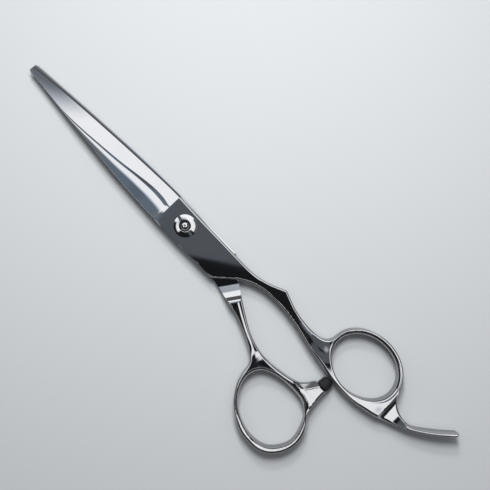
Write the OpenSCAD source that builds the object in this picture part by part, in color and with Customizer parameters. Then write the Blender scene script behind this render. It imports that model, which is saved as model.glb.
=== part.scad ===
// Hair cutting shears, closed, lying on the underside of the pivot bolt.
// X runs along the closed blades to the tips, Y to the thumb ring, Z up.
// The pivot axis is the Z axis. The half with the finger ring is on top.

/* [Blades] */
// Pivot axis to the tips
reach = 75.2; // [68:0.1:80]
// Pivot axis to the spine of each blade
spine_w = 6.1; // [5.8:0.1:6.6]
// Thickness of each half where it rides on the other
ride_t = 2.6; // [2.4:0.1:3]
// Running gap between the two rides
ride_gap = 0.06; // [0.04:0.01:0.1]
// Depth of the hollow grind on the inner faces
hollow = 0.14; // [0.05:0.01:0.2]

/* [Handles] */
// Wall of the finger and thumb rings
ring_wall = 1.9; // [1.6:0.1:2.4]
// Width of the finger ring's hole
finger_hole_w = 25; // [23:0.5:25]
// Length across the finger ring's hole
finger_hole_l = 19.6; // [18:0.2:19.6]
// Height of the finger rest at its free end
rest_h = 5; // [3.8:0.1:5.2]

/* [Bumper] */
// Diameter of the rubber bumper
bumper_d = 4.7; // [4.4:0.1:5.2]
// Diameter of its threaded stud
stud_d = 2; // [1.6:0.1:2.2]

/* [Pivot] */
// Diameter of the bolt head
head_d = 7; // [6.6:0.1:7.4]
// Height that the bolt head stands below the lower blade
head_drop = 0.5; // [0.3:0.1:0.7]
// Diameter of the bolt in its sleeve
bolt_d = 4; // [3.8:0.1:4.2]
// Diameter of the bolt's thread
thread_d = 3.1; // [2.8:0.1:3.1]
// Outer diameter of the sleeve
bushing_d = 5; // [4.8:0.1:5.4]
// Diameter of the tension nut
nut_d = 7.8; // [7.4:0.1:8.2]
// Height of the tension nut
nut_h = 1.75; // [1.6:0.05:2]

/* [Hidden] */
$fn = 64;

// Radial clearance of a shaft that turns, and of a part laid in its seat
run = 0.03;
seat = 0.05;
// Running gap between parts stacked on the pivot axis
stack_gap = 0.02;
// Thickness of the thrust washer, the friction washer and the click spring
washer_t = 0.45;
friction_t = 0.2;
spring_t = 0.25;
// Outer diameter of the thrust washer's recess
thrust_d = 9;
// Width across the flats of the bolt's neck, and of its hole in the lower blade
neck_flats = 3.9;
// Circle of the spring's bumps and of the nut's dimples
detent_r = 2.8;
// Levels from the resting surface up
low = head_drop;
neck_z = 1.1;
mid = low + ride_t + ride_gap / 2;
thrust_z = mid + ride_gap / 2 - 0.01 - washer_t;
top = low + 2 * ride_t + ride_gap;
ring_h = 2 * mid;
spring_z = top + friction_t + 2 * stack_gap;
nut_z = spring_z + spring_t + 0.03;
// Plane where each blade forging is welded to its handle
seam_x = -31;
// Corner where the spine of each half turns in towards its shank
corner_x = -18.6;

// Outline of one half seen from its outer side, spine towards +Y
tip_curve = [
    [60, -2.25], [70, -1.08], [73.2, -0.3], [74.1, 0.15], [74.3, 0.75], [73.7, 1.45], [70, 1.98],
    [60, 2.9]];
edge_curve = [
    [-10, -5.4], [0, -5.45], [10, -5.75], [20, -5.3], [30, -4.68], [40, -3.95], [50, -3.15],
    [60, -2.25]];
spine_curve = [
    [60, 2.9], [50, 3.75], [40, 4.48], [30, 5.2], [20, 5.7], [10, 6.0], [0, 6.1], [-10, 5.85],
    [-18.4, 5.8]];
finger_root = [
    [corner_x, 5.6], [-20.3, 4.3], [-22.3, 2.45], [-24.3, 0.7], [-26, -0.5], [-28, -1.8],
    [seam_x, -3.2]];
finger_root_low = [[seam_x, -6.15], [-28, -5.65], [-25, -5.45], [-20, -5.35], [-10, -5.4]];
thumb_root = [
    [corner_x, 5.6], [-20.3, 4.5], [-22.3, 2.7], [-24.3, 1.0], [-26, -0.1], [-28.6, -1.8],
    [seam_x, -3.2]];
thumb_root_low = [
    [seam_x, -8.0], [-29, -7.5], [-27, -7.15], [-25, -6.85], [-22, -6.3], [-16, -5.6], [-10, -5.4]];

// Stations of each bar: upper edge x and y, lower edge x and y, bottom and top height
finger_shank = [
    [seam_x, -3.2, seam_x, -6.15, low, top], [-35.5, -4.35, -35.5, -7.6, low, top],
    [-39.8, -4.6, -39.8, -9.5, low, top], [-44, -4.55, -44, -8.0, low, top],
    [-50, -3.8, -50, -6.7, low, top], [-56, -2.55, -56, -6.4, low, top],
    [-61, -1.5, -60.8, -7.7, low - 0.2, top + 0.2], [-67.5, -0.4, -63, -9, low - 0.4, top + 0.4]];
finger_rest = [
    [-84, -0.2, -87.8, -5.2, 0.2, ring_h - 0.2], [-88, -0.8, -90.2, -9.5, 0.3, ring_h - 0.3],
    [-91.5, -1.8, -91.9, -9.9, 0.5, ring_h - 0.6], [-94, -2.6, -94.2, -8.8, 0.8, ring_h - 0.9],
    [-98, -4.4, -98, -8.0, 1.2, ring_h - 0.5], [-103, -7, -101.9, -8.4, 1.5, 1.5 + rest_h],
    [-108, -10.5, -106.9, -11.8, 1.8, 1.8 + rest_h], [-112, -13.9, -110.8, -15.1, 2, 2 + rest_h],
    [-114.6, -16.2, -113.4, -17.6, 2.2, 2.1 + rest_h], [-115.1, -17.2, -114.5, -17.9, 3.2, 1.1 + rest_h]];
thumb_shank = [
    [seam_x, 8.0, seam_x, 3.2, low, top], [-35, 8.9, -35.5, 5.9, low, top],
    [-40, 10.8, -41, 9.0, low, top], [-44.5, 13.2, -46, 10.8, low, top],
    [-47.8, 16.3, -51, 11.5, low - 0.2, top + 0.2], [-49.3, 18.5, -54, 11.5, low - 0.3, top + 0.3]];
bumper_arm = [
    [-74.6, 14.2, -64, 10.3, 0.2, ring_h - 0.2], [-73.8, 10.5, -66.2, 8.3, 0.3, ring_h - 0.3],
    [-73.6, 8, -67.4, 6.6, 0.5, ring_h - 0.5], [-73.4, 4.5, -68.6, 4.5, 0.6, ring_h - 0.6]];
// Hole of each ring
thumb_hole = [
    [-77.5, 23.5], [-76.2, 28.4], [-72.8, 32.1], [-67.5, 33.4], [-61.5, 32.2], [-56, 29.1],
    [-52.4, 24.6], [-51.2, 19.8], [-53, 15.3], [-58, 12.9], [-64, 12.3], [-70, 12.8],
    [-74.7, 16.2]];
finger_hole_c = [-76.5, -10.7];
finger_hole = [for (a = [0:30:330])
    finger_hole_c + [finger_hole_w / 2 * cos(a), finger_hole_l / 2 * sin(a)]];
// The bumper sits on the end of the arm and reaches along -Y to the finger ring
bumper_x = -71.7;
bumper_y = 4.5;
bumper_tip = 0.45;
// How far its stud goes into the arm, and into the rubber
stud_in = 3;
stud_out = 2.1;

// Smooth curve through points, as Catmull-Rom stretches
function stretch(a, b, c, d, t) =
    (2 * b + (c - a) * t + (2 * a - 5 * b + 4 * c - d) * t * t
     + (3 * b - a - 3 * c + d) * t * t * t) / 2;
function open_curve(p, n) = [
    for (i = [0:len(p) - 2], k = [0:n - 1])
        stretch(p[max(i - 1, 0)], p[i], p[i + 1], p[min(i + 2, len(p) - 1)], k / n),
    p[len(p) - 1]];
function closed_curve(p, n) = [
    for (i = [0:len(p) - 1], k = [0:n - 1])
        stretch(p[(i + len(p) - 1) % len(p)], p[i], p[(i + 1) % len(p)], p[(i + 2) % len(p)], k / n)];

// Section of a bar: a rounded rectangle between two edge points and two heights
bar_sides = 12;
bar_squareness = 0.55;
function soft(v) = sign(v) * pow(abs(v) / cos(180 / bar_sides), bar_squareness);
function bar_section(s) = [
    for (k = [0:bar_sides - 1])
        let (a = 360 * (k + 0.5) / bar_sides, u = soft(cos(a)), w = soft(sin(a)))
        [(s[0] + s[2] + u * (s[0] - s[2])) / 2, (s[1] + s[3] + u * (s[1] - s[3])) / 2,
         (s[4] + s[5] + w * (s[5] - s[4])) / 2]];
function wall_faces(rings, closed) = [
    for (i = [0:rings - (closed ? 1 : 2)], k = [0:bar_sides - 1])
        let (a = i * bar_sides, b = ((i + 1) % rings) * bar_sides, k2 = (k + 1) % bar_sides)
        each [[a + k, a + k2, b + k2], [a + k, b + k2, b + k]]];
function first_cap() = [for (k = [bar_sides - 1:-1:0]) k];
function last_cap(rings) = [for (k = [0:bar_sides - 1]) (rings - 1) * bar_sides + k];

// Solid bar through its stations, with flat ends
module bar(stations, steps = 4) {
    rings = open_curve(stations, steps);
    polyhedron([for (s = rings) each bar_section(s)],
               concat(wall_faces(len(rings), false), [first_cap(), last_cap(len(rings))]));
}

// Ring with a constant wall round a hole given by points, clockwise or not
module finger_loop(hole, clockwise, steps = 4) {
    inner = closed_curve(hole, steps);
    n = len(inner);
    side = clockwise ? 1 : -1;
    stations = [for (i = [0:n - 1])
        let (p = inner[i],
             d = inner[(i + 1) % n] - inner[(i + n - 1) % n],
             out = side * ring_wall * [-d[1], d[0]] / norm(d))
        [p[0] + out[0], p[1] + out[1], p[0], p[1], 0, ring_h]];
    faces = wall_faces(n, true);
    polyhedron([for (s = stations) each bar_section(s)],
               clockwise ? [for (f = faces) [f[2], f[1], f[0]]] : faces);
}

// Everything above the plane through three points, given anticlockwise from above
module above(p, q, r) {
    across = cross(q - p, r - p);
    n = across / norm(across);
    big = 200;
    translate(p) rotate([0, acos(n[2]), atan2(n[1], n[0])])
        translate([-big / 2, -big / 2, 0]) cube(big);
}

// The ground facets of a blade, on its outer side: both fall away from the ridge,
// and a narrow bevel brings the front one down to the cutting edge
module ground_facets() {
    ground_x = 8.5;
    ridge_a = [12, -1.5, 2.35];
    ridge_b = [60, 2.5, 1.35];
    intersection() {
        translate([ground_x, -10, 0]) cube([reach, 20, ride_t + 1]);
        union() {
            above(ridge_a, [30.4, -4.05, 0.62], ridge_b);
            above(ridge_a, ridge_b, [30, 5.2, 1.3]);
            above([20.3, -4.56, 0.7], [30.4, -4.66, 0.05], [60.8, -1.62, 0.6]);
        }
    }
}

// Hollow grind of the inner face: a large cylinder that runs out before the tip
module hollow_grind() {
    grind_r = 60;
    grind_len = 56;
    translate([12, 0.4, hollow - grind_r]) rotate([0, 90 + atan(hollow / grind_len), 0])
        cylinder(r = grind_r, h = grind_len, $fn = 360);
}

// One half from the tip to the weld seam, outer side up, inner face at z = 0.
// Its root steps down past the inner face to the full thickness of the shank.
module blade_half(root, root_low) {
    outline = concat(open_curve(edge_curve, 3), open_curve(tip_curve, 4),
                     open_curve(spine_curve, 3), root, root_low);
    longer = reach / 74.3;
    wider = spine_w / 6.1;
    sized = [for (p = outline)
        [p[0] > 0 ? p[0] * longer : p[0], p[0] > corner_x ? p[1] * wider : p[1]]];
    step_x = -25.3;
    step_r = 3;
    difference() {
        union() {
            linear_extrude(ride_t) polygon(sized);
            translate([0, 0, -ride_t - ride_gap]) linear_extrude(ride_t + ride_gap + 0.5)
                intersection() {
                    polygon(sized);
                    translate([seam_x, -12]) square([step_x - 0.2 - seam_x, 24]);
                }
        }
        ground_facets();
        hollow_grind();
        // concave step at the end of the inner face
        translate([step_x, 0, -step_r]) rotate([90, 0, 0])
            cylinder(r = step_r, h = 30, center = true);
    }
}

module finger_blade() {
    color("silver")
    translate([0, 0, mid + ride_gap / 2]) difference() {
        blade_half(finger_root, finger_root_low);
        translate([0, 0, -1]) cylinder(d = bushing_d, h = ride_t + 2);
    }
}

// Round hole or shaft with two flats, so that it can't turn
module double_d(d, flats, h) {
    intersection() {
        cylinder(d = d, h = h);
        translate([-d, -flats / 2, 0]) cube([2 * d, flats, h]);
    }
}

module thumb_blade() {
    color("silver") difference() {
        translate([0, 0, mid - ride_gap / 2]) rotate([180, 0, 0]) blade_half(thumb_root, thumb_root_low);
        translate([0, 0, -1]) cylinder(d = head_d + 2 * seat, h = 1 + neck_z);
        double_d(bushing_d, neck_flats, mid);
        translate([0, 0, thrust_z]) cylinder(d = thrust_d, h = mid);
    }
}

module finger_handle() {
    color("gainsboro") {
        bar(finger_shank);
        bar(finger_rest);
        finger_loop(finger_hole, false);
    }
}

module thumb_handle() {
    color("gainsboro") difference() {
        union() {
            bar(thumb_shank);
            bar(bumper_arm);
            finger_loop(thumb_hole, true);
        }
        translate([bumper_x, bumper_y - 1, mid]) rotate([-90, 0, 0])
            cylinder(d = stud_d + 2 * seat, h = 1 + stud_in + 0.2);
    }
}

// Rubber dome with a blind hole for its stud
module bumper() {
    r = bumper_d / 2;
    side_r = r - 0.1;
    dome = 1.9;
    long = bumper_y - bumper_tip;
    hole = stud_out + 0.1;
    color("black") translate([bumper_x, bumper_y, mid]) rotate([90, 0, 0]) rotate_extrude()
        polygon(concat(
            [[stud_d / 2, 0], [r - 0.15, 0], [r, 0.3], [side_r, long - dome]],
            [for (a = [15:15:75]) [side_r * cos(a), long - dome + dome * sin(a)]],
            [[0, long], [0, hole], [stud_d / 2, hole]]));
}

// Ridges of a thread as plain rings, from height a to height b
module thread_rings(r, a, b, pitch = 0.5) {
    turns = floor((b - a) / pitch);
    rotate_extrude() polygon(concat(
        [[0, a]],
        [for (i = [0:turns - 1]) each [[r, a + i * pitch], [r, a + (i + 0.4) * pitch],
                                       [r - 0.18, a + (i + 0.7) * pitch]]],
        [[r, a + turns * pitch], [r, b], [0, b]]));
}

module bumper_stud() {
    color("dimgray") translate([bumper_x, bumper_y + stud_in, mid]) rotate([90, 0, 0])
        thread_rings(stud_d / 2, 0, stud_in + stud_out);
}

// Head below, flats in the lower blade, plain shank in the sleeve, threaded end with a domed top
module pivot_bolt() {
    head_r = head_d / 2;
    head_top = neck_z - stack_gap;
    thread_r = thread_d / 2;
    dome = 0.5;
    dome_z = nut_z + nut_h + 0.25 - dome;
    color("lightgray") {
        rotate_extrude() polygon([
            [0, 0], [head_r - 0.25, 0], [head_r, 0.25], [head_r, head_top], [0, head_top]]);
        translate([0, 0, head_top])
            double_d(bushing_d - 2 * seat, neck_flats - 2 * seat, thrust_z - neck_z);
        translate([0, 0, thrust_z - 0.1])
            cylinder(r = bolt_d / 2 - run, h = spring_z - thrust_z + 0.1);
        thread_rings(thread_r, spring_z - 0.1, dome_z);
        translate([0, 0, dome_z]) rotate_extrude() polygon(concat(
            [[0, -0.1], [thread_r, -0.1]],
            [for (a = [0:15:90]) [thread_r * cos(a), dome * sin(a)]]));
    }
}

module washer(inner_r, outer_r, z, t) {
    translate([0, 0, z]) difference() {
        cylinder(r = outer_r, h = t);
        translate([0, 0, -1]) cylinder(r = inner_r, h = t + 2);
    }
}

module pivot_bushing() {
    color("ivory") washer(bolt_d / 2, bushing_d / 2, mid + ride_gap / 2 + 0.04, ride_t - 0.1);
}

module thrust_washer() {
    color("ivory") washer(bolt_d / 2 + seat, thrust_d / 2 - seat, thrust_z, washer_t);
}

module friction_washer() {
    color("darkgray") washer(bolt_d / 2 + seat, nut_d / 2 - 0.4, top + stack_gap, friction_t);
}

// Flat leaf ring with four detent bumps that reach for the dimples of the nut
module click_spring() {
    color("slategray") {
        washer(thread_d / 2 + seat, nut_d / 2 - 0.5, spring_z, spring_t);
        for (a = [0:90:270])
            rotate(a) translate([detent_r, 0, spring_z + spring_t - 0.1])
                cylinder(r = 0.3, h = 0.11);
    }
}

// Domed nut with a sunk centre, two driver slots and a ring of dimples below
module tension_nut() {
    r = nut_d / 2;
    bore_r = thread_d / 2 + 0.07;
    crown_r = 2.2;
    rim_z = 0.75;
    slot_turn = -10;
    slot_w = 1;
    slot_deep = 0.85;
    color("silver") translate([0, 0, nut_z]) difference() {
        rotate_extrude() polygon(concat(
            [[bore_r, 0], [r - 0.25, 0], [r, 0.25]],
            [for (t = [0:0.125:1])
                [r + (crown_r - r) * t, rim_z + (nut_h - rim_z) * sin(90 * t)]],
            [[2.0, nut_h - 0.1], [bore_r + 0.05, nut_h - 0.7], [bore_r, nut_h - 0.8]]));
        for (s = [0, 180])
            rotate(slot_turn + s) translate([2.1, -slot_w / 2, nut_h - slot_deep])
                cube([r, slot_w, 2]);
        for (a = [0:22.5:359])
            rotate(a) translate([detent_r, 0, -0.3]) cylinder(r = 0.4, h = 0.45);
    }
}

finger_blade();
finger_handle();
thumb_blade();
thumb_handle();
bumper();
bumper_stud();
pivot_bolt();
pivot_bushing();
thrust_washer();
friction_washer();
click_spring();
tension_nut();
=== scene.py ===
"""Looks of the hair cutting shears: polished halves, tension dial, pivot bolt, rubber bumper."""

import math

import bmesh
import bpy
import numpy as np
from mathutils import Matrix, Vector


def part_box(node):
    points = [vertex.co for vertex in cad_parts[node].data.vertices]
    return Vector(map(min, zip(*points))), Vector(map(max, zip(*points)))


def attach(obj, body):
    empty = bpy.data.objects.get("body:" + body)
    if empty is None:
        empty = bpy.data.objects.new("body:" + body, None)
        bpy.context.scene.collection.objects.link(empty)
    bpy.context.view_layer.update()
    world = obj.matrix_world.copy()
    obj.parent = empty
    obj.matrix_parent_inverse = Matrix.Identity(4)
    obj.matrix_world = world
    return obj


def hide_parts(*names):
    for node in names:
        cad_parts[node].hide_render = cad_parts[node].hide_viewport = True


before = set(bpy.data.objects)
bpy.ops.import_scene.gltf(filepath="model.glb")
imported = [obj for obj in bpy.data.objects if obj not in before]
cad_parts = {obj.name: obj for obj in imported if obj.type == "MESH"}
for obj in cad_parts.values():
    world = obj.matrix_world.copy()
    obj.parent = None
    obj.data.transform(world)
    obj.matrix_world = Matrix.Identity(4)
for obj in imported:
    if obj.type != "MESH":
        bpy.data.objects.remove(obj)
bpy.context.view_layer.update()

MM = 0.001


def box_mm(node):
    """A CAD node's lowest and highest corners in millimetres."""
    low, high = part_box(node)
    return np.array(low) / MM, np.array(high) / MM


# Levels in millimetres above the table, from the frame
LOW = box_mm("thumb_blade")[0][2]
TOP = box_mm("finger_blade")[1][2]
MID = (LOW + TOP) / 2
SEAM_X = box_mm("finger_blade")[0][0]
TIP_X = box_mm("finger_blade")[1][0]
RING_HALF = box_mm("thumb_handle")[1][2] - MID
SHANK_HALF = TOP - MID
GAP_HALF = 0.03
RIDE_T = SHANK_HALF - GAP_HALF
NUT_LOW, NUT_HIGH = box_mm("tension_nut")
BOLT_HIGH = box_mm("pivot_bolt")[1]
BUMPER_LOW, BUMPER_HIGH = box_mm("bumper")

# Where the ride ends and the ground blade begins, and where the inner face steps to the shank
RIDE_END = 8.4
STEP_X = -26.95
# Fall of the inner face behind that line: distance past it and depth
STEP_PROFILE = [(-1, 0), (0, 0), (2.2, 0.57), (2.6, 0.71), (3.7, 1.2), (4.0, 1.36), (5.7, 2.8),
                (9, 5.6)]


# ---------------------------------------------------------------- outlines in plan

def curve(points, steps=8, closed=False):
    """Points along a smooth curve through the given points."""
    p = np.array(points, float)
    n = len(p)
    spans = n if closed else n - 1
    near = (lambda i: i % n) if closed else (lambda i: min(max(i, 0), n - 1))
    t = (np.arange(steps) / steps)[:, None]
    out = []
    for i in range(spans):
        a, b, c, d = (p[near(i + k)] for k in (-1, 0, 1, 2))
        out.append((2 * b + (c - a) * t + (2 * a - 5 * b + 4 * c - d) * t**2
                    + (3 * b - a - 3 * c + d) * t**3) / 2)
    if not closed:
        out.append(p[-1:])
    return np.concatenate(out)


def oval(centre, width, length, first=0, last=360, steps=72):
    """Points of an ellipse, or of a stretch of it, with angles in degrees."""
    a = np.radians(np.linspace(first, last, steps, endpoint=last - first < 360))
    return np.stack([centre[0] + width / 2 * np.cos(a), centre[1] + length / 2 * np.sin(a)], 1)


# The half with the finger ring, anticlockwise from the spine at the end of the ride
FINGER_OUTLINE = np.concatenate([
    curve([(12, 5.95), (0, 6.1), (-10, 5.85), (-18.3, 5.75)]),
    # spine side of the shank, over the finger ring to the end of the rest
    curve([(-19, 5.4), (-20.3, 4.3), (-22.3, 2.45), (-24.3, 0.7), (-26, -0.5), (-28, -1.75),
           (-30.5, -2.95), (-33, -3.8), (-36, -4.3), (-40, -4.45), (-44, -4.4), (-50, -3.6),
           (-56, -2.3), (-62, -1.15), (-70, 0.05), (-77.5, 0.5), (-84, 0.05), (-90, -1.25),
           (-94, -2.6), (-98, -4.4), (-102, -6.4), (-106, -9.0), (-110, -12.1), (-113, -14.8),
           (-114.7, -16.4), (-115.05, -17.2), (-114.9, -17.9), (-114.1, -18.0), (-113.1, -17.2),
           (-110.8, -15.0), (-107, -11.7), (-103.4, -8.9), (-101.4, -8.05), (-99.3, -7.85),
           (-97.3, -8.05), (-95.2, -8.8), (-93.4, -9.9), (-92.1, -11.2), (-91.1, -12.9)]),
    oval((-76.6, -10.9), 28.4, 23.0, 195, 345),
    # edge side, with the point between shank and root
    curve([(-62.5, -11.4), (-62.3, -10.0), (-61.4, -8.3), (-59.6, -7.1), (-57, -6.55), (-54, -6.4),
           (-50, -6.7), (-46, -7.45), (-42, -8.8), (-39.8, -9.6)]),
    curve([(-39.6, -9.6), (-37, -8.4), (-34, -7.1), (-31, -6.2), (-28, -5.65), (-24, -5.4),
           (-10, -5.4), (0, -5.45), (12, -5.75)]),
])
FINGER_HOLE = oval((-76.5, -10.7), 25, 19.6)

# The half with the thumb ring, clockwise from the spine at the end of the ride
THUMB_OUTLINE = np.concatenate([
    curve([(12, -6.0), (0, -6.15), (-10, -5.95), (-18.3, -5.95)]),
    # spine side of the shank to the bumper's seat
    curve([(-19, -5.6), (-20.3, -4.5), (-22.3, -2.7), (-24.3, -1.0), (-26, 0.1), (-28.7, 1.8),
           (-31, 3.25), (-36, 6.3), (-40, 8.55), (-43, 9.85), (-46, 10.8), (-49, 11.4), (-52, 11.5),
           (-55, 11.3), (-58, 10.9), (-61, 10.35), (-63.5, 9.7), (-65.5, 8.7), (-67, 7.2),
           (-68, 5.6), (-68.7, 4.55)]),
    # arm, round the thumb ring and back along the edge side
    curve([(-73.4, 4.55), (-73.5, 7), (-73.8, 10), (-74.1, 12.5), (-74.9, 14.6), (-76.3, 16.4),
           (-77.8, 18.5), (-78.8, 21), (-79.2, 23.7), (-79, 26.2), (-78.1, 28.9), (-76.3, 31.7),
           (-73.8, 33.9), (-70.6, 35.1), (-67, 35.25), (-63.5, 34.9), (-60, 33.6), (-57, 31.9),
           (-54, 29.3), (-51.8, 26.6), (-50.2, 23.8), (-49.4, 21), (-49, 18.5), (-48.4, 16.5),
           (-47, 14.8), (-45, 13.4), (-42.5, 11.9), (-40, 10.75), (-37, 9.6), (-34, 8.6), (-31, 8.0),
           (-28.5, 7.5), (-26, 7.05), (-23, 6.4), (-19, 5.9), (-10, 5.4), (0, 5.45), (12, 5.75)]),
])
THUMB_HOLE = curve([(-77.5, 23.5), (-76.2, 28.4), (-72.8, 32.1), (-67.5, 33.4), (-61.5, 32.2),
                    (-56, 29.1), (-52.4, 24.6), (-51.2, 19.8), (-53, 15.3), (-58, 12.9),
                    (-64, 12.3), (-70, 12.8), (-74.7, 16.2)], closed=True)


class Plan:
    """Signed distance to a closed outline in plan, negative inside, looked up on a fine grid."""

    STEP = 0.12

    def __init__(self, outline, low, high):
        self.low = np.array(low, float)
        count = np.ceil((np.array(high) - self.low) / self.STEP).astype(int) + 2
        rows = self.low[0] + self.STEP * np.arange(count[0])
        columns = self.low[1] + self.STEP * np.arange(count[1])
        x, y = (g.ravel() for g in np.meshgrid(rows, columns, indexing="ij"))
        best = np.full(x.shape, 1e9)
        inside = np.zeros(x.shape, bool)
        for a, b in zip(outline, np.roll(outline, -1, 0)):
            d = b - a
            size = d @ d
            if size == 0:
                continue
            t = np.clip(((x - a[0]) * d[0] + (y - a[1]) * d[1]) / size, 0, 1)
            np.minimum(best, (x - a[0] - t * d[0])**2 + (y - a[1] - t * d[1])**2, out=best)
            if a[1] != b[1]:
                crosses = (a[1] > y) != (b[1] > y)
                inside ^= crosses & (x < a[0] + (y - a[1]) * d[0] / d[1])
        self.grid = (np.sqrt(best) * np.where(inside, -1, 1)).reshape(count)

    def __call__(self, x, y):
        x, y = np.broadcast_arrays(x, y)
        u = np.clip((x - self.low[0]) / self.STEP, 0, self.grid.shape[0] - 1.001)
        v = np.clip((y - self.low[1]) / self.STEP, 0, self.grid.shape[1] - 1.001)
        i, j = u.astype(int), v.astype(int)
        u, v = u - i, v - j
        g = self.grid
        return ((g[i, j] * (1 - u) + g[i + 1, j] * u) * (1 - v)
                + (g[i, j + 1] * (1 - u) + g[i + 1, j + 1] * u) * v)


# ---------------------------------------------------------------- solids as fields

def smooth(a, b, v):
    """0 at a, 1 at b, with soft ends."""
    t = np.clip((v - a) / (b - a), 0, 1)
    return t * t * (3 - 2 * t)


def both(a, b, r):
    """Inside both fields, with the edge between them rounded to radius r."""
    return np.minimum(np.maximum(a, b), -r) + np.hypot(np.maximum(a + r, 0), np.maximum(b + r, 0))


def line_at(points, v):
    """Height of a smooth line, given as points, over v."""
    p = curve(points)
    order = np.argsort(p[:, 0])
    return np.interp(v, p[order, 0], p[order, 1])


# Rounding of the thumb ring's outer edges, and of the edges round both holes
OUTER_R = 1.0
HOLE_R = 1.4
# Depth of the finger rest below the ring's top, and the line where its top turns down
REST_DROP = 1.15
REST_CREST = [(-91, -9.0), (-93.3, -7.6), (-95, -6.8), (-97, -6.25), (-99, -6.1), (-101.5, -6.65),
              (-105, -8.8), (-109, -11.9), (-113, -15.6), (-116, -18.5)]
# How far the middle of the rest rises towards its end, the slope past its crest, and the cosine
# of the crest's direction in plan
REST_RISE = 1.4
REST_SLOPE = math.radians(60)
CREST_SLANT = 0.8


def hollow(x, y, x0, y0, size, depth):
    """Depth of a shallow polished hollow."""
    return depth * np.exp(-((x - x0)**2 + (y - y0)**2) / (2 * size * size))


def finger_handle_field(plan, hole):
    """Shank, finger ring and finger rest."""
    def field(x, y, z):
        wall = plan(x, y)
        centre = MID + REST_RISE * smooth(-95, -113, x)
        half = SHANK_HALF + (RING_HALF - SHANK_HALF) * smooth(-56, -65, x)
        # the top falls to the rest over a short stretch beside the ring
        past_edge = np.clip((-91.4 - 0.08 * (y + 3) - x) / 2.1, 0, 1)
        half = half - REST_DROP * past_edge * (2 - past_edge) + 0.45 * smooth(-96, -104, x)
        # polished hollows on both sides of the ring
        half = half - hollow(x, y, -64.5, -5.2, 2.2, 0.22) - hollow(x, y, -87.5, -4.5, 2.6, 0.15)
        # the shank leans a little next to the ring
        half = half - 0.3 * smooth(-4.2, -8.4, y) * smooth(-47, -55, x) * smooth(-67, -64, x)
        # well rounded along the thumb's side, except where the ring is thin
        thumb_side = smooth(-58, -66, x) * smooth(-99, -94, x) * smooth(-12, -6, y)
        outer_r = 0.6 + thumb_side * (0.1 + 0.5 * smooth(4, 11, np.abs(x + 76.5)))
        slab = np.abs(z - centre) - half
        body = both(wall, slab, outer_r)
        # steep face below the crest of the rest, which runs out towards the ring; the crest's
        # slant makes a distance along Y longer than the one across it
        fade = 2.5 * smooth(-102, -95, x) + 40 * smooth(-96, -90, x)
        past_crest = (line_at(REST_CREST, x) - y) * CREST_SLANT - 0.45 - fade
        face = past_crest * math.sin(REST_SLOPE) + (z - centre - half) * math.cos(REST_SLOPE)
        body = both(body, face, 0.25)
        return np.maximum(body, both(-hole(x, y), slab, HOLE_R - 0.85 * smooth(-9, -2, y)))
    return field


# Ridge along the roof-shaped top of the thumb side's shank, slope past it, and cosine of its
# direction in plan
SHANK_RIDGE = [(-27, 3.0), (-30.2, 4.7), (-33, 6.25), (-36, 7.9), (-40, 9.9), (-44, 11.6),
               (-47, 13.2), (-50, 15.0)]
ROOF = math.radians(30)
RIDGE_SLANT = 0.88
# Bevel of the bumper arm, on the side of the line through ARM_RIDGE that ARM_ACROSS points to
ARM_SLOPE = math.radians(38)
ARM_RIDGE = (-70.5, 4.5)
ARM_ACROSS = (0.96, -0.28)


def thumb_handle_field(plan, hole):
    """Shank with its roof-shaped top, thumb ring and bumper arm."""
    def field(x, y, z):
        wall = plan(x, y)
        half = SHANK_HALF + (RING_HALF - SHANK_HALF) * smooth(-41, -50, x)
        # the arm is a little lower than the ring, and the fork behind the shank is hollow
        half = half - 0.5 * smooth(11.6, 9.2, y) * smooth(-64, -68, x)
        half = half - hollow(x, y, -50.5, 13.2, 2.2, 0.2)
        up = np.abs(z - MID)
        slab = up - half
        body = both(wall, slab, 0.5 + (OUTER_R - 0.5) * smooth(-46, -52, x))
        # left facet of the shank, which falls away from the ridge line
        past_ridge = (y - line_at(SHANK_RIDGE, x)) * RIDGE_SLANT
        fade = smooth(-49, -44.5, x)
        facet = (up - half + past_ridge * math.tan(ROOF) * fade) * math.cos(ROOF)
        body = both(body, facet - 0.02, 0.3)
        # bevel along the open side of the arm, straight on past the bumper's seat
        bevel = 2.0 * smooth(11.6, 9.2, y) * smooth(-61.5, -65, x)
        open_wall = np.where(y < 6.4, (x + 68.7) * 0.842 - (y - 4.55) * 0.54, wall)
        side = (up - half + (open_wall + bevel) * math.tan(ARM_SLOPE)) * math.cos(ARM_SLOPE)
        across = (x - ARM_RIDGE[0]) * ARM_ACROSS[0] + (y - ARM_RIDGE[1]) * ARM_ACROSS[1]
        body = np.where((across > -1) & (bevel > 0), both(body, side, 0.15), body)
        # round the hole: widest above the arm, tighter round the ring's far side
        above = smooth(12.5, 15.5, y)
        hole_r = HOLE_R + 0.2 + (1 - above) * smooth(-59, -65, x)
        hole_r = hole_r - 0.7 * above * smooth(-55, -61, x)
        return np.maximum(body, both(-hole(x, y), slab, hole_r))
    return field


# Chamfer along the spine side of the inner face, and rounding of the ride's top on the edge side
CHAMFER = math.radians(10)
CHAMFER_WIDTH = 0.85
EDGE_SIDE_ROUND = 0.75


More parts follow.
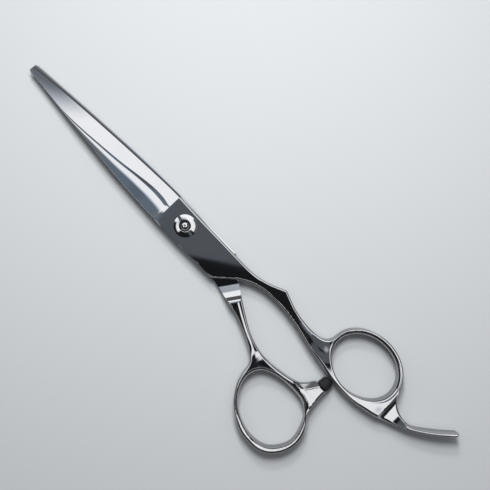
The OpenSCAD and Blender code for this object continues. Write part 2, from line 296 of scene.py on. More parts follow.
def root_field(plan, turn, bores):
    """Ride and root of a half in its own axes: outer side up, inner face at z = 0, spine towards
    +Y. The inner face steps down to the full thickness of the shank, turned in plan by turn;
    bores are (radius, lowest z, highest z)."""
    across = np.array([math.cos(turn), math.sin(turn)])
    deep = SHANK_HALF + GAP_HALF  # the shank's underside
    past, fall = np.array(STEP_PROFILE).T

    def field(x, y, z):
        wall = plan(x, y)
        rounding = np.where(y < 0, EDGE_SIDE_ROUND, 0.1 + 0.3 * smooth(-16, -19, x))
        solid = both(wall, z - RIDE_T, rounding)
        solid = np.maximum(solid, both(wall, -z - deep, 0.5))
        q = -((x - STEP_X) * across[0] + y * across[1])
        slope = (np.interp(q + 0.01, past, fall) - np.interp(q - 0.01, past, fall)) / 0.02
        inner_face = (-z - np.interp(q, past, fall)) / np.sqrt(1 + slope * slope)
        solid = both(solid, inner_face, 0.04 + 0.4 * smooth(3.5, 4.5, q))
        # chamfer along the spine side of the inner face
        lean = ((wall + CHAMFER_WIDTH) * math.tan(CHAMFER) - z) * math.cos(CHAMFER)
        solid = np.where((y > 2) & (x > -18.4), both(solid, lean, 0.05), solid)
        rho = np.hypot(x, y)
        for r, low, high in bores:
            solid = np.maximum(solid, -np.maximum(rho - r, np.maximum(low - z, z - high)))
        return both(solid, x - RIDE_END, 0.12)
    return field


# Turn between face and field that marks an edge, and share of the strongest direction below
# which a cell counts as flat in another
EDGE_ANGLE = math.radians(24)
FLAT_SHARE = 0.12


def polygonise(field, low, high, cell):
    """Vertices, quads and corner normals of field = 0 in a box, by dual contouring, which keeps
    edges sharp: one vertex per cell that the surface passes, one quad per grid edge it crosses."""
    low, cell = np.array(low, float), np.array(cell, float)
    count = np.ceil((np.array(high) - low) / cell).astype(int) + 1
    axes = [low[i] + cell[i] * np.arange(count[i]) for i in range(3)]
    grid = np.meshgrid(*axes, indexing="ij", sparse=True)
    value = np.broadcast_to(field(*grid), count)
    inside = value < 0
    points, normals, cells, turned = [], [], [], []
    stride = np.array([(count[1] - 1) * (count[2] - 1), count[2] - 1, 1])
    unit = np.eye(3, dtype=int)
    for axis in range(3):
        change = inside != np.roll(inside, -1, axis)
        change[tuple(slice(-1, None) if k == axis else slice(None) for k in range(3))] = False
        at = np.argwhere(change)
        step, u, v = unit[axis], unit[(axis + 1) % 3], unit[(axis + 2) % 3]
        start, reach = low + at * cell, step * cell
        share = crossing(field, start, reach, value[tuple(at.T)], value[tuple((at + step).T)])
        p = start + share[:, None] * reach
        points.append(p)
        normals.append(gradient(field, p))
        cells.append(np.stack([at - u - v, at - v, at, at - u], 1) @ stride)
        turned.append(inside[tuple(at.T)])
    points, normals = np.concatenate(points), np.concatenate(normals)
    cells, turned = np.concatenate(cells), np.concatenate(turned)
    ids, corner = np.unique(cells, return_inverse=True)
    corner = corner.reshape(cells.shape)
    vertices = feature_points(points, normals, corner, len(ids), cell)
    # settle the vertices on the surface
    for _ in range(2):
        f = field(vertices[:, 0], vertices[:, 1], vertices[:, 2])
        g = gradient(field, vertices, unit=False)
        move = np.clip(f / np.maximum((g * g).sum(1), 0.2), -0.1, 0.1)
        vertices = vertices - move[:, None] * g
    quads = np.where(turned[:, None], corner, corner[:, ::-1])
    # normals of the faces' corners: the field's own, or the face's where an edge runs through
    flat = np.repeat(gradient(field, vertices[quads].mean(1))[:, None], 4, 1)
    normals = gradient(field, vertices)[quads]
    on_edge = (normals * flat).sum(2) < math.cos(EDGE_ANGLE)
    normals[on_edge] = flat[on_edge]
    across = np.cross(vertices[quads[:, 2]] - vertices[quads[:, 0]],
                      vertices[quads[:, 3]] - vertices[quads[:, 1]])
    if (across * flat[:, 0]).sum() < 0:
        quads, normals = quads[:, ::-1], normals[:, ::-1]
    return vertices, quads, normals


def crossing(field, start, reach, a, b):
    """How far along each grid edge the field is zero, given its values a and b at the ends."""
    low, high = np.zeros(len(start)), np.ones(len(start))
    t = a / (a - b)
    for _ in range(3):
        p = start + t[:, None] * reach
        f = field(p[:, 0], p[:, 1], p[:, 2])
        same = (f < 0) == (a < 0)
        low, a = np.where(same, t, low), np.where(same, f, a)
        high, b = np.where(same, high, t), np.where(same, b, f)
        t = low + (high - low) * np.clip(a / np.where(a == b, 1, a - b), 0, 1)
    return t


def gradient(field, p, unit=True, e=0.01):
    """Direction in which the field grows at each point."""
    g = np.empty_like(p)
    for k in range(3):
        d = np.zeros(3)
        d[k] = e
        ahead, behind = p + d, p - d
        g[:, k] = (field(ahead[:, 0], ahead[:, 1], ahead[:, 2])
                   - field(behind[:, 0], behind[:, 1], behind[:, 2])) / (2 * e)
    return g / np.maximum(np.linalg.norm(g, axis=1), 1e-9)[:, None] if unit else g


def feature_points(points, normals, corner, total, cell):
    """One vertex per cell: where the tangent planes of its crossings meet, or their middle on a
    smooth face."""
    flat = corner.ravel()
    normals, points = np.repeat(normals, 4, 0), np.repeat(points, 4, 0)
    number = np.bincount(flat, minlength=total)
    middle = np.stack([np.bincount(flat, points[:, k], total) for k in range(3)], 1) / number[:, None]
    offset = ((points - middle[flat]) * normals).sum(1)
    rhs = np.stack([np.bincount(flat, normals[:, k] * offset, total) for k in range(3)], 1)
    ata = np.empty((total, 3, 3))
    for i in range(3):
        for j in range(3):
            ata[:, i, j] = np.bincount(flat, normals[:, i] * normals[:, j], total)
    w, v = np.linalg.eigh(ata)
    inverse = np.where(w > FLAT_SHARE * w[:, 2:], 1 / np.maximum(w, 1e-9), 0)
    shift = np.einsum("nij,nj,nkj,nk->ni", v, inverse, v, rhs)
    return middle + np.clip(shift, -cell, cell)


# ---------------------------------------------------------------- meshes

def make_piece(name, vertices, faces, sharp=30, creases=(), normals=None):
    """Mesh object from points in millimetres, smooth except across edges sharper than the angle
    and across creases, which are pairs of points. Normals may be given for the corners of the
    first faces."""
    mesh = bpy.data.meshes.new(name)
    mesh.from_pydata((np.asarray(vertices) * MM).tolist(), [], [list(f) for f in faces])
    mesh.update()
    piece = bpy.data.objects.new(name, mesh)
    bpy.context.scene.collection.objects.link(piece)
    shade(piece, sharp)
    wanted = set(creases)
    for edge in mesh.edges if wanted else ():
        if tuple(sorted(edge.vertices)) in wanted:
            edge.use_edge_sharp = True
    if normals is not None:
        corners = np.zeros((len(mesh.loops), 3))
        given = normals.reshape(-1, 3)
        corners[:len(given)] = given
        mesh.normals_split_custom_set(corners.tolist())
    return piece


def shade(piece, sharp=30):
    """Smooth shading, with edges sharper than the angle kept sharp."""
    piece.data.shade_smooth()
    piece.data.set_sharp_from_angle(angle=math.radians(sharp))


def cut(piece, other, sharp):
    """Cuts another piece out of a piece; the other piece is removed."""
    modifier = piece.modifiers.new("cut", "BOOLEAN")
    modifier.operation = "DIFFERENCE"
    modifier.object = other
    modifier.solver = "EXACT"
    settle(piece)
    bpy.data.objects.remove(other)
    shade(piece, sharp)


def settle(piece):
    """Applies the piece's modifiers."""
    graph = bpy.context.evaluated_depsgraph_get()
    mesh = bpy.data.meshes.new_from_object(piece.evaluated_get(graph))
    piece.modifiers.clear()
    piece.data = mesh


def lathe(name, profile, segments=96, sharp=35):
    """Piece turned round Z from (radius, height) points in millimetres, which may start and end on
    the axis."""
    vertices, rows = [], []
    for r, z in profile:
        if r < 1e-6:
            rows.append([len(vertices)] * segments)
            vertices.append((0, 0, z))
            continue
        rows.append(list(range(len(vertices), len(vertices) + segments)))
        angles = [2 * math.pi * k / segments for k in range(segments)]
        vertices += [(r * math.cos(a), r * math.sin(a), z) for a in angles]
    faces = []
    for a, b in zip(rows, rows[1:] + (rows[:1] if profile[0][0] > 1e-6 else [])):
        for k in range(segments):
            n = (k + 1) % segments
            face = [a[k], a[n], b[n], b[k]]
            face = [v for i, v in enumerate(face) if v not in face[:i]]
            if len(face) > 2:
                faces.append(face)
    return make_piece(name, vertices, faces, sharp)


def arc(centre, r, first, last, steps=6):
    """(radius, height) points of an arc of a lathe profile, with angles in degrees."""
    angles = np.radians(np.linspace(first, last, steps))
    return [(centre[0] + r * math.cos(a), centre[1] + r * math.sin(a)) for a in angles]


def block(name, low, high):
    """Box between two corners in millimetres, for cutting."""
    x, y, z = zip(low, high)
    vertices = [(x[i], y[j], z[k]) for i in (0, 1) for j in (0, 1) for k in (0, 1)]
    faces = [[0, 1, 3, 2], [4, 6, 7, 5], [0, 4, 5, 1], [2, 3, 7, 6], [0, 2, 6, 4], [1, 5, 7, 3]]
    return make_piece(name, vertices, faces)


# ---------------------------------------------------------------- ground blades

# Cutting edge, spine and ridge in plan
EDGE_LINE = [(0, -5.45), (10.1, -5.75), (20.2, -5.3), (30.4, -4.68), (40.5, -3.95), (50.6, -3.15),
             (60.7, -2.25), (70.9, -1.08), (74.1, -0.5), (75.3, -0.3)]
SPINE_LINE = [(0, 6.1), (10.1, 6.0), (20.2, 5.7), (30.4, 5.2), (40.5, 4.48), (50.6, 3.75),
              (60.7, 2.9), (70.9, 2.03), (74.2, 1.82), (75.3, 1.75)]
RIDGE_LINE = [(6, -0.45), (9, -0.75), (12, -1.3), (16, -1.4), (20, -1.0), (25, -0.25), (30, 0.55),
              (35, 1.15), (40, 1.65), (45, 2.15), (50, 2.55), (55, 2.8), (60, 2.75), (70, 1.9),
              (80, 1.0)]
# Lean of the front facet and of the hollow behind the ridge, in degrees, and width of the level
# ridge
FACET_LEAN = [(6, 17.5), (35, 17.3), (42, 15.6), (48, 13.6), (54, 11.6), (60, 9.4), (66, 7.2),
              (72, 5.4), (76, 4.6)]
HOLLOW_LEAN = 13.5
RIDGE_FLAT = [(8, 0.1), (9.2, 0.15), (10.2, 0.95), (15, 1.0), (20, 0.8), (26, 0.55), (40, 0.5),
              (55, 0.42), (60, 0.3), (80, 0.1)]
# Bevel along the cutting edge, thickness left at the edge itself, and depth of the inner hollow
BEVEL_WIDTH = 0.58
BEVEL_TILT = math.radians(35)
EDGE_T = 0.02
INNER_HOLLOW = 0.14
# Length of the rounded nose at the tip
NOSE = 0.6
SPINE_ROUND = 0.08
# Steps across the front facet and across the hollow
FACET_STEPS = 6
BACK_STEPS = 24


def blade_section(x):
    """(y, z) points round the ground blade at x in its own axes, from the cutting edge over the
    outside: bevel, leaning front facet, level ridge, hollow that levels out to the back, rounded
    spine, inner face."""
    y_edge, y_spine = line_at(EDGE_LINE, x), line_at(SPINE_LINE, x)
    width = y_spine - y_edge
    rounding = min(SPINE_ROUND, 0.2 * width)
    y_bevel = y_edge + min(BEVEL_WIDTH, 0.25 * width)
    y_end = y_spine - rounding
    y_ridge = min(line_at(RIDGE_LINE, x), y_end - 0.05)
    y_hollow = y_ridge + min(line_at(RIDGE_FLAT, x), 0.6 * (y_end - y_ridge))
    z_bevel = EDGE_T + (y_bevel - y_edge) * math.tan(BEVEL_TILT)
    slope = math.tan(math.radians(line_at(FACET_LEAN, x)))
    points = [(y_edge, EDGE_T), ((y_edge + y_bevel) / 2, (EDGE_T + z_bevel) / 2)]
    # the front facet is very slightly hollow
    for t in np.linspace(0, 1, FACET_STEPS + 1):
        reach = (y_ridge - y_bevel) * t
        points.append((y_bevel + reach, z_bevel + reach * (slope - 0.02 * (1 - t))))
    z = points[-1][1]
    points.append((y_hollow, z))
    step = (y_end - y_hollow) / BACK_STEPS
    for k in range(BACK_STEPS):
        t = (k + 0.5) / BACK_STEPS
        lean = HOLLOW_LEAN * smooth(0, 0.06, t) * min(1, max(0, (0.82 - t) / 0.5))
        z += step * math.tan(math.radians(lean))
        points.append((y_hollow + step * (k + 1), z))
    z_corner = max(0.5 * z, z - rounding)
    for turn in (30, 55, 75, 90):
        a = math.radians(turn)
        points.append((y_end + rounding * math.sin(a), z_corner + (z - z_corner) * math.cos(a)))
    # chamfer along the spine, then the hollow-ground inner face with a flat line along the edge
    chamfer = min(CHAMFER_WIDTH, 0.3 * width)
    z_low = min(0.17, 0.6 * z_corner)
    points += [(y_spine, z_low), (y_spine - 0.05 * chamfer, 0.85 * z_low), (y_spine - chamfer, 0.0)]
    deepest = INNER_HOLLOW * smooth(9, 16, x) * (1 - smooth(58, 70, x))
    inner_low, inner_high = y_edge + 0.3 * min(3, width), y_spine - chamfer - 0.05
    for t in np.linspace(1, 0, 12):
        points.append((inner_low + (inner_high - inner_low) * t, deepest * 4 * t * (1 - t)))
    points.append((y_edge + min(0.05, 0.1 * width), 0.0))
    # the nose narrows towards its blunt end
    along = max(0, 1 - (TIP_X - x) / NOSE)
    narrowing = 0.6 + 0.4 * math.sqrt(1 - along * along)
    middle = y_edge + 0.25 * width
    return [(middle + (y - middle) * narrowing, z) for y, z in points]


# Points of a section where its faces meet in a crease
SECTION_CREASES = (0, 2, 2 + FACET_STEPS, 3 + FACET_STEPS)


def blade_loft():
    """Points, faces and creases of the ground blade from inside the ride to the tip, in its own
    axes."""
    stations = np.concatenate([np.linspace(RIDE_END - 0.6, RIDE_END + 12, 40),
                               np.linspace(RIDE_END + 12.6, 70, 70),
                               np.linspace(70.5, TIP_X - NOSE, 10),
                               TIP_X - NOSE * (1 - np.sin(np.linspace(0.2, 1.55, 9)))])
    sections = [blade_section(x) for x in stations]
    n, rows = len(sections[0]), len(stations)
    vertices = [(x, y, z) for x, section in zip(stations, sections) for y, z in section]
    faces = [[i * n + k, (i + 1) * n + k, (i + 1) * n + (k + 1) % n, i * n + (k + 1) % n]
             for i in range(rows - 1) for k in range(n)]
    faces += [list(range(n)), list(range((rows - 1) * n, rows * n))[::-1]]
    creases = [(i * n + k, (i + 1) * n + k) for i in range(rows - 1) for k in SECTION_CREASES]
    return vertices, faces, creases


def to_world(vertices, flip):
    """From a half's own axes to the frame; the thumb half is turned over about X."""
    v = np.array(vertices, float)
    if flip:
        return v * (1, -1, -1) + (0, 0, MID - GAP_HALF)
    return v + (0, 0, MID + GAP_HALF)


# Grid for the polished halves
CELL = ((0.2, 0.2, 0.2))


def blade_piece(name, outline, turn, bores, flip):
    """One half from the seam to the tip."""
    own = outline * (1, -1) if flip else outline
    root = root_field(Plan(own, (SEAM_X - 3, -11), (RIDE_END + 2, 9)), turn, bores)
    deep = SHANK_HALF + GAP_HALF
    points, faces, normals = polygonise(lambda x, y, z: np.maximum(root(x, y, z), SEAM_X - x),
                                        (SEAM_X - 1.03, -9.61, -deep - 0.83),
                                        (RIDE_END + 1, 8, RIDE_T + 1), CELL)
    ground, ground_faces, creases = blade_loft()
    count = len(points)
    faces = faces.tolist() + [[count + k for k in face] for face in ground_faces]
    creases = [(count + a, count + b) for a, b in creases]
    if flip:
        normals = normals * (1, -1, -1)
    vertices = to_world(np.concatenate([points, ground]), flip)
    return make_piece(name, vertices, faces, 14, creases, normals)


def fix_normals(piece):
    """Turns the faces of a closed mesh outwards."""
    mesh = bmesh.new()
    mesh.from_mesh(piece.data)
    bmesh.ops.recalc_face_normals(mesh, faces=mesh.faces)
    mesh.to_mesh(piece.data)
    mesh.free()


def handle_piece(name, outline, hole, make_field, low, high):
    """One handle from the seam back."""
    corners = (low[0] - 1, low[1] - 1), (high[0] + 1, high[1] + 1)
    field = make_field(Plan(outline, *corners), Plan(hole, *corners))
    points, faces, normals = polygonise(lambda x, y, z: np.maximum(field(x, y, z), x - SEAM_X),
                                        low, high, CELL)
    return make_piece(name, points, faces, normals=normals)


# ---------------------------------------------------------------- materials

def node_material(name, colour, metallic, roughness):
    """New material and its shader node."""
    material = bpy.data.materials.new(name)
    material.use_nodes = True
    shader = material.node_tree.nodes["Principled BSDF"]
    shader.inputs["Base Color"].default_value = (*colour, 1)
    shader.inputs["Metallic"].default_value = metallic
    shader.inputs["Roughness"].default_value = roughness
    return material, shader


def add(tree, kind, **values):
    """New node with its properties or inputs set by name, with _ for a space."""
    node = tree.nodes.new(kind)
    for key, value in values.items():
        if hasattr(node, key):
            setattr(node, key, value)
        else:
            node.inputs[key.replace("_", " ")].default_value = value
    return node


def steel(name, colour, roughness, turn=0.0):
    """Polished steel: faint hairlines along the grain, which is turned in plan, and wiping marks
    that change the gloss."""
    material, shader = node_material(name, colour, 1.0, roughness)
    shader.inputs["Specular Tint"].default_value = (0.6, 0.6, 0.6, 1)
    tree = material.node_tree
    link = tree.links.new
    where = add(tree, "ShaderNodeTexCoord")
    lines = add(tree, "ShaderNodeMapping")
    lines.inputs["Scale"].default_value = (120, 5200, 5200)
    lines.inputs["Rotation"].default_value = (0, 0, turn)
    link(where.outputs["Object"], lines.inputs["Vector"])
    hair = add(tree, "ShaderNodeTexNoise", Scale=1.0, Detail=3.0, Roughness=0.6)
    link(lines.outputs["Vector"], hair.inputs["Vector"])
    smudge = add(tree, "ShaderNodeTexNoise", Scale=95.0, Detail=4.0, Roughness=0.55)
    link(where.outputs["Object"], smudge.inputs["Vector"])
    gloss = add(tree, "ShaderNodeMapRange", From_Min=0.3, From_Max=0.75, To_Min=roughness * 0.75,
                To_Max=roughness * 1.5)
    link(smudge.outputs["Fac"], gloss.inputs["Value"])
    link(gloss.outputs["Result"], shader.inputs["Roughness"])
    bump = add(tree, "ShaderNodeBump", Strength=0.25, Distance=0.0007 * MM)
    link(hair.outputs["Fac"], bump.inputs["Height"])
    link(bump.outputs["Normal"], shader.inputs["Normal"])
    tint = add(tree, "ShaderNodeMix", data_type="RGBA")
    tint.inputs["A"].default_value = (*colour, 1)
    smudged = (colour[0] * 0.9, colour[1] * 0.91, colour[2] * 0.93)
    tint.inputs["B"].default_value = (*smudged, 1)
    link(smudge.outputs["Fac"], tint.inputs["Factor"])
    link(tint.outputs["Result"], shader.inputs["Base Color"])
    return material


def rubber(name):
    """Soft black rubber with a fine moulded grain and slightly shiny worn patches."""
    material, shader = node_material(name, (0.01, 0.01, 0.011), 0.0, 0.55)
    shader.inputs["Specular IOR Level"].default_value = 0.25
    tree = material.node_tree
    link = tree.links.new
    where = add(tree, "ShaderNodeTexCoord")
    grain = add(tree, "ShaderNodeTexNoise", Scale=4200.0, Detail=3.0)
    link(where.outputs["Object"], grain.inputs["Vector"])
    bump = add(tree, "ShaderNodeBump", Strength=0.35, Distance=0.03 * MM)
    link(grain.outputs["Fac"], bump.inputs["Height"])
    link(bump.outputs["Normal"], shader.inputs["Normal"])
    wear = add(tree, "ShaderNodeTexNoise", Scale=450.0, Detail=2.0)
    link(where.outputs["Object"], wear.inputs["Vector"])
    gloss = add(tree, "ShaderNodeMapRange", From_Min=0.35, From_Max=0.7, To_Min=0.42, To_Max=0.65)
    link(wear.outputs["Fac"], gloss.inputs["Value"])
    link(gloss.outputs["Result"], shader.inputs["Roughness"])
    return material


def plastic(name):
    """Natural acetal, slightly cloudy."""
    material, shader = node_material(name, (0.8, 0.78, 0.7), 0.0, 0.35)
    shader.inputs["Subsurface Weight"].default_value = 0.1
    shader.inputs["Subsurface Scale"].default_value = 0.001
    tree = material.node_tree
    where = add(tree, "ShaderNodeTexCoord")
    cloud = add(tree, "ShaderNodeTexNoise", Scale=600.0, Detail=3.0)
    tree.links.new(where.outputs["Object"], cloud.inputs["Vector"])
    gloss = add(tree, "ShaderNodeMapRange", From_Min=0.3, From_Max=0.7, To_Min=0.28, To_Max=0.45)
    tree.links.new(cloud.outputs["Fac"], gloss.inputs["Value"])
    tree.links.new(gloss.outputs["Result"], shader.inputs["Roughness"])
    return material


def finish_piece(piece, body, slot, material, *nodes):
    """Gives a piece its material and body, and lets it stand for the CAD nodes. The slot is not used.
    """
    piece.data.materials.clear()
    piece.data.materials.append(material)
    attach(piece, body)
    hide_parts(*nodes)


# ---------------------------------------------------------------- the shears

blade_steel = steel("blade_steel", (0.52, 0.525, 0.53), 0.03)
handle_steel = steel("handle_steel", (0.52, 0.525, 0.53), 0.05, turn=0.5)
pivot_steel = steel("pivot_steel", (0.56, 0.565, 0.57), 0.06)
spring_steel = steel("spring_steel", (0.42, 0.44, 0.47), 0.25)
acetal = plastic("natural_acetal")
black_rubber = rubber("black_rubber")

# Turn of the step at the root in plan, and the bores of the rides: pivot, bolt's head and washer
FINGER_TURN = 0.2
THUMB_TURN = 0.59
PIVOT_BORE = (2.5, -9, 9)
HEAD_BORE = (3.55, 2.0, 9)
WASHER_RECESS = (4.5, -9, 0.4)

finger_blade = blade_piece("finger_blade_steel", FINGER_OUTLINE, FINGER_TURN, [PIVOT_BORE],
                           flip=False)
finish_piece(finger_blade, "finger_side", "blade_steel", blade_steel, "finger_blade")
thumb_blade = blade_piece("thumb_blade_steel", THUMB_OUTLINE, THUMB_TURN,
                          [PIVOT_BORE, HEAD_BORE, WASHER_RECESS], flip=True)
finish_piece(thumb_blade, "thumb_side", "blade_steel", blade_steel, "thumb_blade")

finger_handle = handle_piece("finger_handle_steel", FINGER_OUTLINE, FINGER_HOLE,
                             finger_handle_field, (-116.3, -23.5, -0.77), (SEAM_X + 1, 1.6, 7.1))
finish_piece(finger_handle, "finger_side", "handle_steel", handle_steel, "finger_handle")
thumb_handle = handle_piece("thumb_handle_steel", THUMB_OUTLINE, THUMB_HOLE, thumb_handle_field,
                            (-80.3, 2.1, -0.77), (SEAM_X + 1, 36.4, 7.1))
finish_piece(thumb_handle, "thumb_side", "handle_steel", handle_steel, "thumb_handle")


# Driver slots of the nut: inner end, half width, depth and turn in plan
SLOT_START = 2.1
SLOT_HALF = 0.5
SLOT_DEPTH = 0.85
SLOT_TURN = math.radians(-10)


def tension_dial():
    """Domed nut with a sunk centre and two driver slots."""
    r, low, high = NUT_HIGH[0], NUT_LOW[2], NUT_HIGH[2]
    bore, crown = 1.62, 2.05
    dome = []
    radius, z = crown, high
    steps = 18
    step = (r - 0.04 - crown) / steps
    for k in range(steps + 1):
        dome.append((radius, z))
        z -= step * math.tan(math.radians(10 + 13 * k / steps))
        radius += step
    z = dome[-1][1]
    profile = [(bore, low), (r - 0.25, low), (r - 0.07, low + 0.07), (r, low + 0.25), (r, z - 0.08)]
    profile += dome[::-1]
    profile += [(crown - 0.06, high - 0.03), (crown - 0.1, high - 0.12), (bore + 0.03, high - 0.7)]
    nut = lathe("tension_dial", profile, 128)
    fix_normals(nut)
    for side in (0, math.pi):
        slot = block("slot", (SLOT_START, -SLOT_HALF, high - SLOT_DEPTH),
                     (r + 1, SLOT_HALF, high + 1))
        slot.data.transform(Matrix.Rotation(SLOT_TURN + side, 4, "Z"))
        cut(nut, slot, 35)
    return nut


# Radii of the bolt's neck, shank and threaded end, height of its domed top, and thread pitch
NECK_R = 2.4
SHANK_R = 1.97
THREAD_R = 1.55
BOLT_DOME = 1.0
PITCH = 0.5


def bolt():
    """Head, neck, shank and threaded end with a domed top."""
    top = BOLT_HIGH[2]
    head = BOLT_HIGH[0]
    r = THREAD_R
    profile = [(0, 0), (head - 0.35, 0)] + arc((head - 0.3, 0.3), 0.3, -90, 0)
    profile += [(head, 1.0), (head - 0.08, 1.08), (NECK_R, 1.08), (NECK_R, 2.6), (SHANK_R, 2.62),
                (SHANK_R, 6.0), (r, 6.02)]
    z = 6.1
    while z + PITCH < top - BOLT_DOME:
        profile += [(r, z), (r, z + 0.15), (r - 0.2, z + 0.3), (r, z + 0.45)]
        z += PITCH
    profile += [(r * math.cos(a), top - BOLT_DOME + math.sin(a) * BOLT_DOME)
                for a in np.radians(np.linspace(0, 90, 18))]
    profile[-1] = (0, top)
    piece = lathe("pivot_bolt_steel", profile, 96)
    fix_normals(piece)
    return piece


def rubber_bumper():
    """Black dome that the closing halves meet on, pointing along -Y."""
    r = (BUMPER_HIGH[0] - BUMPER_LOW[0]) / 2 - 0.01
    long = BUMPER_HIGH[1] - BUMPER_LOW[1]
    dome = 2.0
    shoulder = long - dome
    profile = [(0, 0), (r - 0.25, 0), (r - 0.05, 0.12), (r, 0.35), (r, 0.8), (r - 0.2, shoulder)]
    profile += [((r - 0.2) * math.cos(a), shoulder + dome * math.sin(a))
                for a in np.radians(np.linspace(8, 90, 14))]
    profile[-1] = (0, long)
    piece = lathe("bumper_rubber", profile, 72)
    x = (BUMPER_HIGH[0] + BUMPER_LOW[0]) / 2
    seat = Matrix.Translation(Vector((x, BUMPER_HIGH[1], MID)) * MM)
    piece.data.transform(seat @ Matrix.Rotation(math.pi / 2, 4, "X"))
    fix_normals(piece)
    return piece


finish_piece(tension_dial(), "tension_dial", "pivot_steel", pivot_steel, "tension_nut")
finish_piece(bolt(), "thumb_side", "pivot_steel", pivot_steel, "pivot_bolt")
finish_piece(rubber_bumper(), "thumb_side", "bumper_rubber", black_rubber, "bumper")

INNER_NODES = {"pivot_bushing": acetal, "thrust_washer": acetal, "friction_washer": spring_steel,
               "click_spring": spring_steel, "bumper_stud": spring_steel}
for node, material in INNER_NODES.items():
    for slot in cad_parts[node].material_slots:
        slot.material = material


# ---------------------------------------------------------------- floor, light and camera

# Dark patch of ceiling: where its centre leans to along X and Y, and its radius, all as sines of
# angles
PATCH_X = 0.110
PATCH_Y = -0.037
PATCH_R = 0.25
# Radiance of the bright panels, of the room behind them, of the walls and of the lit side's glow
PANEL = 1.5
DIM = 0.02
WALLS = 0.08
GLOW = 0.13
# Directions of the picture's edges, and of the side that the light comes from
PICTURE_UP = Vector((0.7213, -0.6926, 0))
PICTURE_RIGHT = Vector((-0.6926, -0.7213, 0))
LIT_SIDE = Vector((0.82, -0.57, 0))
# Where the camera stands over the shears, in millimetres, and how many it sees across
EYE_X, EYE_Y, EYE_Z = -18.6, -10.1, 300
PICTURE_WIDTH = 165.62


def floor():
    """Pale paper, with hardly visible clouds."""
    half = 1500
    vertices = [(-half, -half, 0), (half, -half, 0), (half, half, 0), (-half, half, 0)]
    piece = make_piece("floor", vertices, [[0, 1, 2, 3]])
    material, shader = node_material("floor_paper", (0.72, 0.73, 0.745), 0.0, 0.6)
    shader.inputs["Specular IOR Level"].default_value = 0.2
    tree = material.node_tree
    where = add(tree, "ShaderNodeTexCoord")
    grain = add(tree, "ShaderNodeTexNoise", Scale=9.0, Detail=2.0)
    tree.links.new(where.outputs["Object"], grain.inputs["Vector"])
    tone = add(tree, "ShaderNodeMix", data_type="RGBA")
    tone.inputs["A"].default_value = (0.312, 0.328, 0.344, 1)
    tone.inputs["B"].default_value = (0.323, 0.336, 0.35, 1)
    tree.links.new(grain.outputs["Fac"], tone.inputs["Factor"])
    tree.links.new(tone.outputs["Result"], shader.inputs["Base Color"])
    piece.data.materials.append(material)


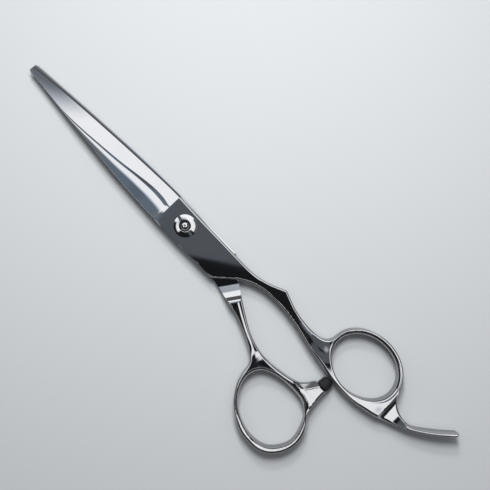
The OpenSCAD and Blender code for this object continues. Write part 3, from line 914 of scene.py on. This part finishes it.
def sky():
    """Room light by direction: a dark ceiling patch over the camera, half of it black and softer
    towards +X; bright panels round it, with a second row lower down on the lit side; the dark
    shape of a person at the picture's bottom; grey walls."""
    world = bpy.data.worlds.new("studio")
    bpy.context.scene.world = world
    world.use_nodes = True
    tree = world.node_tree
    link = tree.links.new
    background = tree.nodes["Background"]
    where = add(tree, "ShaderNodeTexCoord").outputs["Generated"]

    def maths(operation, a, b=None):
        """A maths node on one or two outputs or numbers."""
        node = add(tree, "ShaderNodeMath", operation=operation)
        for k, v in enumerate((a, b)):
            if v is None:
                continue
            if isinstance(v, (int, float)):
                node.inputs[k].default_value = v
            else:
                link(v, node.inputs[k])
        return node.outputs["Value"]

    def along(direction):
        """How far the view points along a direction, as a sine or cosine."""
        node = add(tree, "ShaderNodeVectorMath", operation="DOT_PRODUCT")
        link(where, node.inputs[0])
        node.inputs[1].default_value = direction
        return node.outputs["Value"]

    def ease(value, a, b):
        """0 below a, 1 above b, with soft ends."""
        node = add(tree, "ShaderNodeMapRange", interpolation_type="SMOOTHSTEP", From_Min=a, From_Max=b)
        link(value, node.inputs["Value"])
        return node.outputs["Result"]

    def product(*values):
        """The values multiplied."""
        result = values[0]
        for value in values[1:]:
            result = maths("MULTIPLY", result, value)
        return result

    def rest(share):
        """What is left of 1."""
        return maths("SUBTRACT", 1.0, share)

    def mix(low, high, share):
        """From low at share 0 to high at share 1."""
        return maths("ADD", product(low, rest(share)), product(high, share))

    degree = math.pi / 180
    to_tips = along((1, 0, 0))
    off_zenith = maths("ARCCOSINE", along((0, 0, 1)))
    level = maths("MAXIMUM", maths("SINE", off_zenith), 0.02)
    # the patch is stretched towards +X, where its edge is also softer
    off_x = maths("SUBTRACT", to_tips, PATCH_X)
    off_y = maths("SUBTRACT", along((0, 1, 0)), PATCH_Y)
    off_x = product(off_x, mix(1.0, 0.62, ease(off_x, -0.02, 0.02)))
    off_patch = maths("SQRT", maths("ADD", product(off_x, off_x), product(off_y, off_y)))
    soft = ease(to_tips, -0.02, 0.2)
    start = mix(PATCH_R, PATCH_R - 0.08, soft)
    end = mix(PATCH_R + 0.05, PATCH_R + 0.14, soft)
    share = maths("DIVIDE", maths("SUBTRACT", off_patch, start), maths("SUBTRACT", end, start))
    outside_patch = ease(share, 0.0, 1.0)
    # panels, which the person hides except for those overhead
    beside = ease(maths("DIVIDE", along(PICTURE_UP), level), -0.66, -0.52)
    person = maths("MAXIMUM", beside, rest(ease(off_zenith, 17 * degree, 21 * degree)))
    lit = ease(maths("DIVIDE", along(LIT_SIDE), level), 0.45, 0.65)
    near = product(rest(ease(off_zenith, 34 * degree, 40 * degree)), person)
    far = product(ease(off_zenith, 26 * degree, 32 * degree), lit,
                  rest(ease(off_zenith, 54 * degree, 68 * degree)))
    panels = product(maths("MAXIMUM", near, far), PANEL)
    walls = product(ease(off_zenith, 60 * degree, 74 * degree), WALLS)
    light = maths("ADD", maths("ADD", panels, DIM), maths("MAXIMUM", product(lit, GLOW), walls))
    # the ceiling patch, black on one side of a line
    ceiling = mix(0.015, 0.165, ease(along((0.57, -0.822, 0)), -0.0252, -0.0232))
    ceiling = maths("ADD", ceiling, product(ease(to_tips, 0.08, 0.13), 0.11))
    radiance = mix(ceiling, light, outside_patch)
    # the patch and its edge are bluish
    bluer = product(ease(to_tips, 0.08, 0.12), rest(ease(to_tips, 0.17, 0.24)))
    blue = product(rest(outside_patch), mix(0.8, 1.6, bluer))
    colour = add(tree, "ShaderNodeCombineColor")
    link(product(radiance, mix(1.0, 0.86, blue)), colour.inputs["Red"])
    link(product(radiance, mix(1.0, 0.98, blue)), colour.inputs["Green"])
    link(product(radiance, mix(1.01, 1.14, blue)), colour.inputs["Blue"])
    link(colour.outputs["Color"], background.inputs["Color"])


def area_light(name, place, aim, size, power):
    """Square lamp in metres and watts, turned to a point."""
    light = bpy.data.lights.new(name, "AREA")
    light.size = size
    light.energy = power
    light.color = (1.0, 0.99, 0.97)
    lamp = bpy.data.objects.new(name, light)
    lamp.location = place
    lamp.rotation_euler = (Vector(aim) - Vector(place)).to_track_quat("-Z", "Y").to_euler()
    # the steel mirrors the sky's panels instead
    lamp.visible_glossy = False
    bpy.context.scene.collection.objects.link(lamp)


def camera():
    """Straight above, with the tips up and to the left."""
    data = bpy.data.cameras.new("camera")
    data.sensor_width = 36
    data.lens = data.sensor_width * (EYE_Z - TOP) / PICTURE_WIDTH
    data.clip_start = 0.01
    eye = bpy.data.objects.new("camera", data)
    axes = (PICTURE_RIGHT, PICTURE_UP, PICTURE_RIGHT.cross(PICTURE_UP))
    pose = Matrix(axes).transposed().to_4x4()
    pose.translation = Vector((EYE_X, EYE_Y, EYE_Z)) * MM
    eye.matrix_world = pose
    bpy.context.scene.collection.objects.link(eye)
    bpy.context.scene.camera = eye
    bpy.context.scene.view_settings.view_transform = "Standard"


floor()
sky()
area_light("key", (0.075, -0.105, 0.3), (-0.02, -0.02, 0), 0.1, 1.45)
area_light("side", (0.2, -0.19, 0.3), (0.02, -0.03, 0), 0.05, 0.85)
camera()
